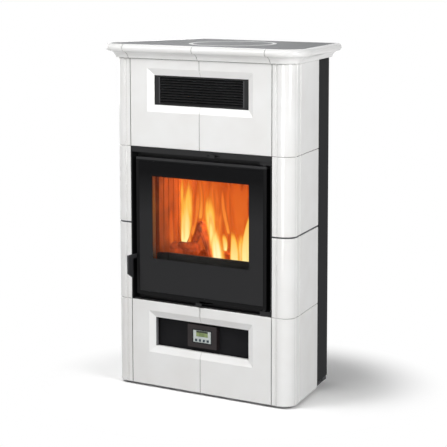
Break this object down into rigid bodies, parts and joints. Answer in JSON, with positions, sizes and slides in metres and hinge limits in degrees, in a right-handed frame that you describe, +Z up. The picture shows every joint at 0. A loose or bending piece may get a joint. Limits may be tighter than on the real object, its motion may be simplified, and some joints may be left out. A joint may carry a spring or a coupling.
{
  "type": "wood stove",
  "caption": "Tall wood stove clad in profiled white ceramic, with glazed fire door, warm-air grille and control niche.",
  "frame": {"origin": "on the floor, at the middle of the stove's width and depth over the handle and the rear collars", "axes": "+Z up, +X to the right seen from the front, the door faces -Y"},
  "size_m": [0.8018, 0.494, 1.1799],
  "materials": {
    "white_glaze": "glossy white glaze",
    "top_enamel": "satin grey stove enamel",
    "black_sheet": "matt black powder coat",
    "black_cast": "matt black stove paint on steel",
    "frame_steel": "dark grey primer",
    "bare_steel": "turned bare steel",
    "galvanised": "galvanised sheet",
    "cast_iron": "rough cast iron",
    "fireclay": "pressed vermiculite, sooted",
    "pane": "heat-proof glass",
    "rope": "woven glass-fibre rope",
    "silver_plastic": "matt dark moulded plastic",
    "bezel_film": "printed pale front film",
    "display": "green liquid-crystal display",
    "key_rubber": "moulded rubber key",
    "inlet_plastic": "black moulded plastic"
  },
  "bodies": {
    "stove": {"corner_tile_left_1": "white_glaze", "corner_tile_left_2": "white_glaze", "corner_tile_left_3": "white_glaze", "corner_tile_left_4": "white_glaze", "front_tile_top_left": "white_glaze", "front_tile_bottom_left": "white_glaze", "cornice_front_left": "white_glaze", "cornice_corner_left": "white_glaze", "side_panel_left": "black_sheet", "lining_left": "fireclay", "corner_tile_right_1": "white_glaze", "corner_tile_right_2": "white_glaze", "corner_tile_right_3": "white_glaze", "corner_tile_right_4": "white_glaze", "front_tile_top_right": "white_glaze", "front_tile_bottom_right": "white_glaze", "cornice_front_right": "white_glaze", "cornice_corner_right": "white_glaze", "side_panel_right": "black_sheet", "lining_right": "fireclay", "top_plate": "top_enamel", "base_plate": "frame_steel", "levelling_feet": "bare_steel", "back_panel": "black_sheet", "inner_frame": "frame_steel", "door_surround": "black_cast", "hinge_pins": "bare_steel", "latch_keeper": "bare_steel", "firebox": "black_cast", "lining_back": "fireclay", "baffle": "fireclay", "hearth_plate": "cast_iron", "grate": "cast_iron", "log_guard": "cast_iron", "ash_pan": "bare_steel", "flue_collar": "black_cast", "air_intake_collar": "galvanised", "outlet_duct": "galvanised", "air_grille": "black_cast", "blower_housing": "galvanised", "blower_motor": "black_cast", "niche_panel": "black_sheet", "control_plate": "silver_plastic", "lcd_bezel": "bezel_film", "lcd_display": "display", "mains_inlet": "inlet_plastic"},
    "fire_door": {"door_frame": "black_cast", "door_glass": "pane", "glass_strips": "bare_steel", "door_seal": "rope", "handle_pin": "bare_steel"},
    "handle": {"handle_lever": "black_cast"},
    "primary_air": {"primary_air_lever": "black_cast"},
    "secondary_air": {"secondary_air_lever": "black_cast"},
    "cover": {"top_cover": "top_enamel"},
    "blower": {"blower_rotor": "galvanised"},
    "key_1": {"button_1": "key_rubber"},
    "key_2": {"button_2": "key_rubber"},
    "key_3": {"button_3": "key_rubber"},
    "key_4": {"button_4": "key_rubber"}
  },
  "joints": [
    {"name": "door_hinge", "type": "hinge", "parent": "stove", "child": "fire_door", "pos_m": [0.252, -0.188, 0.56], "axis": [0, 0, 1], "range_deg": [0, 100]},
    {"name": "handle_pivot", "type": "hinge", "parent": "fire_door", "child": "handle", "pos_m": [-0.2712, -0.188, 0.4535], "axis": [1, 0, 0], "range_deg": [-30, 8]},
    {"name": "primary_air_slide", "type": "slide", "parent": "stove", "child": "primary_air", "axis": [1, 0, 0], "range_m": [-0.02, 0.02]},
    {"name": "secondary_air_slide", "type": "slide", "parent": "stove", "child": "secondary_air", "axis": [1, 0, 0], "range_m": [-0.02, 0.02]},
    {"name": "cover_lift", "type": "slide", "parent": "stove", "child": "cover", "axis": [0, 0, 1], "range_m": [0, 0.06]},
    {"name": "blower_spin", "type": "hinge", "parent": "stove", "child": "blower", "pos_m": [0, 0.142, 0.064], "axis": [1, 0, 0], "continuous": true},
    {"name": "key_1_press", "type": "slide", "parent": "stove", "child": "key_1", "axis": [0, 1, 0], "range_m": [0, 0.0012], "stiffness_N_per_m": 400, "springref_m": -0.0005},
    {"name": "key_2_press", "type": "slide", "parent": "stove", "child": "key_2", "axis": [0, 1, 0], "range_m": [0, 0.0012], "stiffness_N_per_m": 400, "springref_m": -0.0005},
    {"name": "key_3_press", "type": "slide", "parent": "stove", "child": "key_3", "axis": [0, 1, 0], "range_m": [0, 0.0012], "stiffness_N_per_m": 400, "springref_m": -0.0005},
    {"name": "key_4_press", "type": "slide", "parent": "stove", "child": "key_4", "axis": [0, 1, 0], "range_m": [0, 0.0012], "stiffness_N_per_m": 400, "springref_m": -0.0005}
  ]
}
